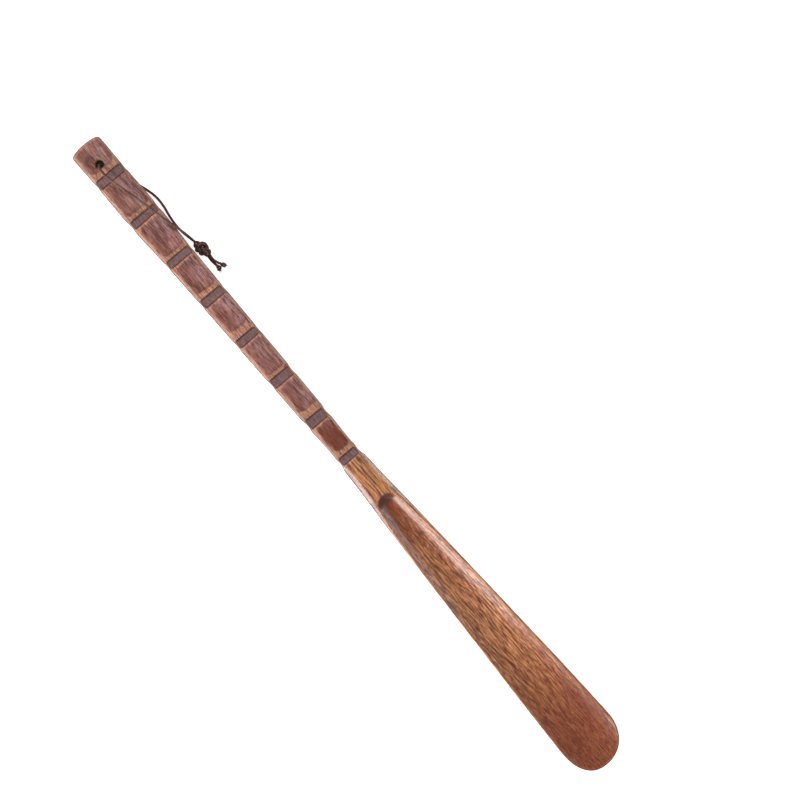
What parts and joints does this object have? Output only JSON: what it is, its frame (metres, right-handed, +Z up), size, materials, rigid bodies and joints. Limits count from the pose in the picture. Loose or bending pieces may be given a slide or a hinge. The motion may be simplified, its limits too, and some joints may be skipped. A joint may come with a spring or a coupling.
{
  "type": "long shoehorn",
  "caption": "Long one-piece wooden shoehorn: notched grip handle with a hang hole and tied cord loop, narrow neck, and a long hollow blade with a round tip.",
  "frame": {"origin": "on the table, under the middle of the wooden body's length and width", "axes": "+X from the handle end to the blade tip, +Y towards the side the cord lies on, +Z up, the way the scoop opens"},
  "size_m": [0.55, 0.0421, 0.0191],
  "materials": {
    "stained_wood": "reddish brown stained hardwood, semi-gloss lacquer, worn lighter at the edges",
    "dark_cord": "dark brown waxed cotton cord, matte"
  },
  "bodies": {
    "shoehorn": {"wooden_body": "stained_wood"},
    "lanyard": {"cord_front_strand": "dark_cord", "cord_rear_strand": "dark_cord", "cord_knot": "dark_cord", "cord_tail_a": "dark_cord", "cord_tail_b": "dark_cord", "tail_knot_a": "dark_cord", "tail_knot_b": "dark_cord"}
  },
  "joints": [
    {"name": "lanyard_swing", "type": "hinge", "parent": "shoehorn", "child": "lanyard", "pos_m": [-0.2576, 0, 0.0094], "axis": [0, 0, 1], "range_deg": [0, 320]}
  ]
}
